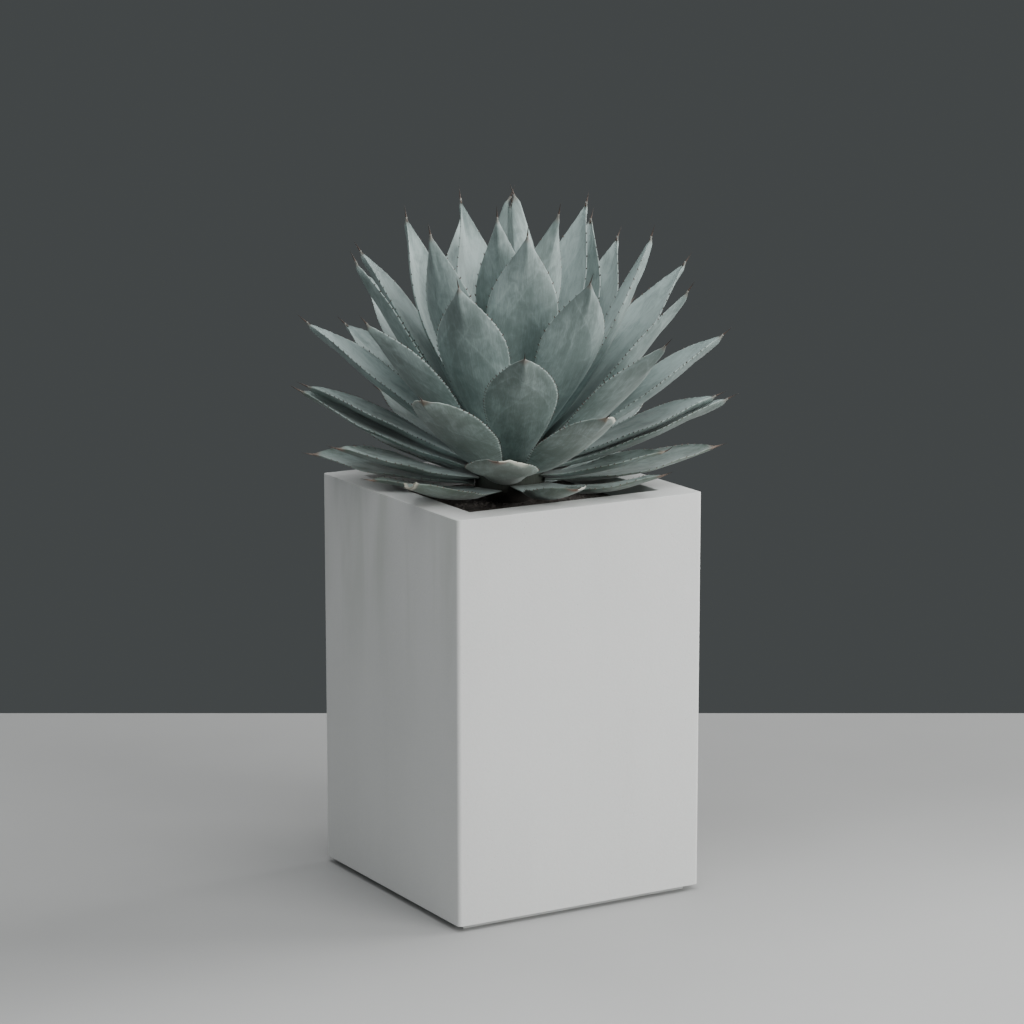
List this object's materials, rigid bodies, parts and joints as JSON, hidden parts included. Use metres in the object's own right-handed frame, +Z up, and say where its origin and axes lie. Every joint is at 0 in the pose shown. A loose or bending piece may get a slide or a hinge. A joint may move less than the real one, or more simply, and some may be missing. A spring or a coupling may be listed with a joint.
{
  "type": "potted agave",
  "caption": "Agave rosette of thick, channelled, toothed leaves with end spines, growing in a tall square planter with a flat lip and a recessed plinth.",
  "frame": {"origin": "centre of the flat underside of the planter's plinth, on the planter's axis", "axes": "+Z up along the planter's axis and the stem; X and Y square to the planter's faces, -Y towards the front face"},
  "size_m": [0.4608, 0.5025, 0.8216],
  "materials": {
    "planter": "smooth matt pale grey, faintly mottled",
    "soil": "dark crumbly potting mix",
    "stem": "pale green stump",
    "leaf_low": "grey-green with a powdery bloom",
    "leaf": "blue-grey with a powdery bloom"
  },
  "bodies": {
    "root": {"planter": "planter", "soil": "soil", "stem": "stem", "leaf_01": "leaf_low", "leaf_02": "leaf_low", "leaf_03": "leaf_low", "leaf_04": "leaf_low", "leaf_05": "leaf_low", "leaf_06": "leaf_low", "leaf_07": "leaf_low", "leaf_08": "leaf_low", "leaf_09": "leaf_low", "leaf_10": "leaf_low", "leaf_11": "leaf_low", "leaf_12": "leaf_low", "leaf_13": "leaf_low", "leaf_14": "leaf_low", "leaf_15": "leaf", "leaf_16": "leaf", "leaf_17": "leaf", "leaf_18": "leaf", "leaf_19": "leaf", "leaf_20": "leaf", "leaf_21": "leaf", "leaf_22": "leaf", "leaf_23": "leaf", "leaf_24": "leaf", "leaf_25": "leaf", "leaf_26": "leaf", "leaf_27": "leaf", "leaf_28": "leaf", "leaf_29": "leaf", "leaf_30": "leaf", "leaf_31": "leaf", "leaf_32": "leaf", "leaf_33": "leaf", "leaf_34": "leaf", "leaf_35": "leaf", "leaf_36": "leaf", "leaf_37": "leaf", "leaf_38": "leaf", "leaf_39": "leaf", "leaf_40": "leaf", "leaf_41": "leaf", "leaf_42": "leaf", "leaf_43": "leaf", "leaf_44": "leaf", "leaf_45": "leaf", "leaf_46": "leaf", "leaf_47": "leaf", "leaf_48": "leaf", "leaf_49": "leaf", "leaf_50": "leaf", "leaf_51": "leaf", "leaf_52": "leaf", "leaf_53": "leaf", "leaf_54": "leaf", "leaf_55": "leaf", "leaf_56": "leaf"}
  },
  "joints": []
}
